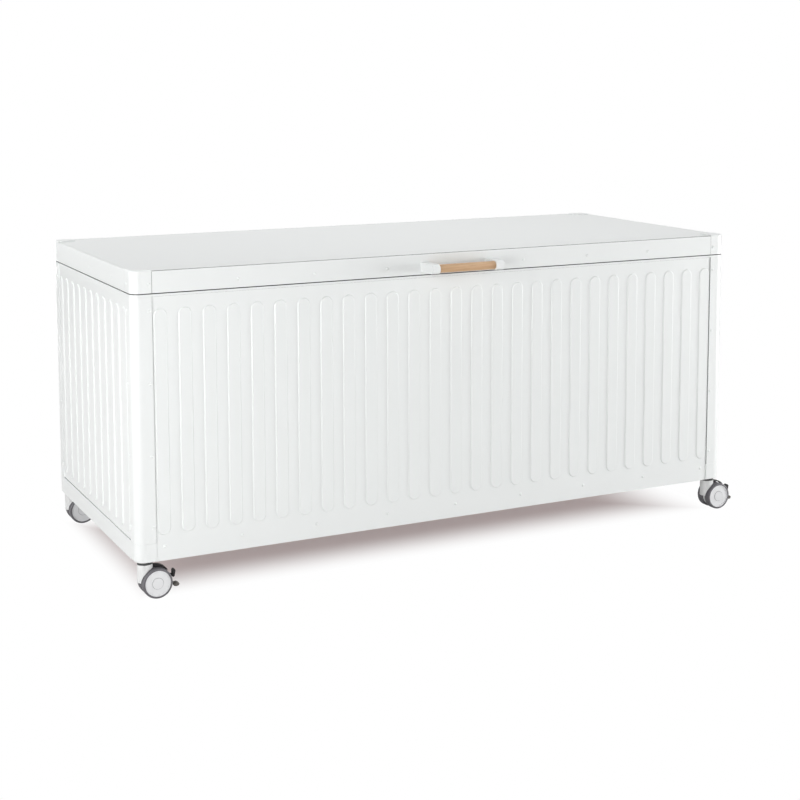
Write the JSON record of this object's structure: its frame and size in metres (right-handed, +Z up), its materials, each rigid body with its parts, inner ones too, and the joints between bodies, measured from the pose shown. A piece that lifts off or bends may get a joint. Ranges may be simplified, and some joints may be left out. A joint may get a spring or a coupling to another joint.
{
  "type": "outdoor storage box",
  "caption": "Long white sheet-metal storage box with raised upright slots, a hinged flat lid with a wooden grip, gas struts and twin-wheel castors.",
  "frame": {"origin": "on the floor under the middle of the box body", "axes": "+X along the length towards the viewer's right when facing the front, -Y out of the front where the grip is, +Z up"},
  "size_m": [1.8101, 0.8285, 0.807],
  "materials": {
    "powder_coat": "satin white powder coat",
    "rivet_coat": "satin white",
    "floor_coat": "satin white powder coat",
    "seal_rubber": "matt black",
    "grip_wood": "oiled light wood",
    "hinge_steel": "brushed",
    "strut_tube": "satin black",
    "strut_rod": "polished",
    "stem_steel": "dark",
    "castor_shell": "pale grey",
    "wheel_hub": "light grey",
    "wheel_tyre": "soft grey tread",
    "pedal_plastic": "near black"
  },
  "bodies": {
    "box_body": {"base_rail_front": "powder_coat", "base_rail_back": "powder_coat", "base_rail_left": "powder_coat", "base_rail_right": "powder_coat", "base_corners": "powder_coat", "corner_post_front_left": "powder_coat", "corner_post_front_right": "powder_coat", "corner_post_back_right": "powder_coat", "corner_post_back_left": "powder_coat", "front_panel": "powder_coat", "back_panel": "powder_coat", "left_panel": "powder_coat", "right_panel": "powder_coat", "floor_panel": "floor_coat", "floor_members": "floor_coat", "rim_frame": "powder_coat", "rim_seal": "seal_rubber", "body_rivets": "rivet_coat", "body_hinge_leaves": "powder_coat", "hinge_pins": "hinge_steel", "strut_body_brackets": "hinge_steel", "castor_stems": "stem_steel"},
    "lid": {"lid_top_sheet": "powder_coat", "lid_rail_front": "powder_coat", "lid_rail_back": "powder_coat", "lid_rail_left": "powder_coat", "lid_rail_right": "powder_coat", "lid_corners": "powder_coat", "lid_rivets": "rivet_coat", "handle_grip": "grip_wood", "handle_brackets": "powder_coat", "lid_hinge_leaves": "powder_coat", "strut_lid_brackets": "hinge_steel", "lid_bars": "powder_coat"},
    "strut_tube_left": {"strut_tube_left": "strut_tube"},
    "strut_rod_left": {"strut_rod_left": "strut_rod"},
    "strut_tube_right": {"strut_tube_right": "strut_tube"},
    "strut_rod_right": {"strut_rod_right": "strut_rod"},
    "castor_front_left": {"castor_housing_front_left": "castor_shell"},
    "wheel_front_left_near": {"tyre_front_left_near": "wheel_tyre", "hub_front_left_near": "wheel_hub"},
    "wheel_front_left_far": {"tyre_front_left_far": "wheel_tyre", "hub_front_left_far": "wheel_hub"},
    "pedal_front_left": {"brake_pedal_front_left": "pedal_plastic"},
    "castor_front_right": {"castor_housing_front_right": "castor_shell"},
    "wheel_front_right_near": {"tyre_front_right_near": "wheel_tyre", "hub_front_right_near": "wheel_hub"},
    "wheel_front_right_far": {"tyre_front_right_far": "wheel_tyre", "hub_front_right_far": "wheel_hub"},
    "pedal_front_right": {"brake_pedal_front_right": "pedal_plastic"},
    "castor_back_right": {"castor_housing_back_right": "castor_shell"},
    "wheel_back_right_near": {"tyre_back_right_near": "wheel_tyre", "hub_back_right_near": "wheel_hub"},
    "wheel_back_right_far": {"tyre_back_right_far": "wheel_tyre", "hub_back_right_far": "wheel_hub"},
    "castor_back_left": {"castor_housing_back_left": "castor_shell"},
    "wheel_back_left_near": {"tyre_back_left_near": "wheel_tyre", "hub_back_left_near": "wheel_hub"},
    "wheel_back_left_far": {"tyre_back_left_far": "wheel_tyre", "hub_back_left_far": "wheel_hub"}
  },
  "joints": [
    {"name": "lid_hinge", "type": "hinge", "parent": "box_body", "child": "lid", "pos_m": [0, 0.3805, 0.74975], "axis": [-1, 0, 0], "range_deg": [0, 80]},
    {"name": "strut_tilt_left", "type": "hinge", "parent": "box_body", "child": "strut_tube_left", "pos_m": [-0.828, 0.2555, 0.49475], "axis": [-1, 0, 0], "range_deg": [0, 28.88]},
    {"name": "strut_slide_left", "type": "slide", "parent": "strut_tube_left", "child": "strut_rod_left", "axis": [0, -0.2631, 0.9648], "range_m": [0, 0.1837]},
    {"name": "strut_tilt_right", "type": "hinge", "parent": "box_body", "child": "strut_tube_right", "pos_m": [0.828, 0.2555, 0.49475], "axis": [-1, 0, 0], "range_deg": [0, 28.88]},
    {"name": "strut_slide_right", "type": "slide", "parent": "strut_tube_right", "child": "strut_rod_right", "axis": [0, -0.2631, 0.9648], "range_m": [0, 0.1837]},
    {"name": "swivel_front_left", "type": "hinge", "parent": "box_body", "child": "castor_front_left", "pos_m": [-0.848, -0.348, 0.08], "axis": [0, 0, 1], "continuous": true},
    {"name": "roll_front_left_near", "type": "hinge", "parent": "castor_front_left", "child": "wheel_front_left_near", "pos_m": [-0.823, -0.348, 0.0375], "axis": [0, 1, 0], "continuous": true},
    {"name": "roll_front_left_far", "type": "hinge", "parent": "castor_front_left", "child": "wheel_front_left_far", "pos_m": [-0.823, -0.348, 0.0375], "axis": [0, 1, 0], "continuous": true},
    {"name": "brake_front_left", "type": "hinge", "parent": "castor_front_left", "child": "pedal_front_left", "pos_m": [-0.8023, -0.348, 0.045], "axis": [0, 1, 0], "range_deg": [0, 12]},
    {"name": "swivel_front_right", "type": "hinge", "parent": "box_body", "child": "castor_front_right", "pos_m": [0.848, -0.348, 0.08], "axis": [0, 0, 1], "continuous": true},
    {"name": "roll_front_right_near", "type": "hinge", "parent": "castor_front_right", "child": "wheel_front_right_near", "pos_m": [0.873, -0.348, 0.0375], "axis": [0, 1, 0], "continuous": true},
    {"name": "roll_front_right_far", "type": "hinge", "parent": "castor_front_right", "child": "wheel_front_right_far", "pos_m": [0.873, -0.348, 0.0375], "axis": [0, 1, 0], "continuous": true},
    {"name": "brake_front_right", "type": "hinge", "parent": "castor_front_right", "child": "pedal_front_right", "pos_m": [0.8937, -0.348, 0.045], "axis": [0, 1, 0], "range_deg": [0, 12]},
    {"name": "swivel_back_right", "type": "hinge", "parent": "box_body", "child": "castor_back_right", "pos_m": [0.848, 0.348, 0.08], "axis": [0, 0, 1], "continuous": true},
    {"name": "roll_back_right_near", "type": "hinge", "parent": "castor_back_right", "child": "wheel_back_right_near", "pos_m": [0.873, 0.348, 0.0375], "axis": [0, 1, 0], "continuous": true},
    {"name": "roll_back_right_far", "type": "hinge", "parent": "castor_back_right", "child": "wheel_back_right_far", "pos_m": [0.873, 0.348, 0.0375], "axis": [0, 1, 0], "continuous": true},
    {"name": "swivel_back_left", "type": "hinge", "parent": "box_body", "child": "castor_back_left", "pos_m": [-0.848, 0.348, 0.08], "axis": [0, 0, 1], "continuous": true},
    {"name": "roll_back_left_near", "type": "hinge", "parent": "castor_back_left", "child": "wheel_back_left_near", "pos_m": [-0.823, 0.348, 0.0375], "axis": [0, 1, 0], "continuous": true},
    {"name": "roll_back_left_far", "type": "hinge", "parent": "castor_back_left", "child": "wheel_back_left_far", "pos_m": [-0.823, 0.348, 0.0375], "axis": [0, 1, 0], "continuous": true}
  ],
  "couplings": [
    {"joint": "strut_tilt_left", "follows": "lid_hinge", "ratio": 0.36037},
    {"joint": "strut_slide_left", "follows": "lid_hinge", "m_per_rad": 0.13141},
    {"joint": "strut_tilt_right", "follows": "lid_hinge", "ratio": 0.36037},
    {"joint": "strut_slide_right", "follows": "lid_hinge", "m_per_rad": 0.13141}
  ]
}
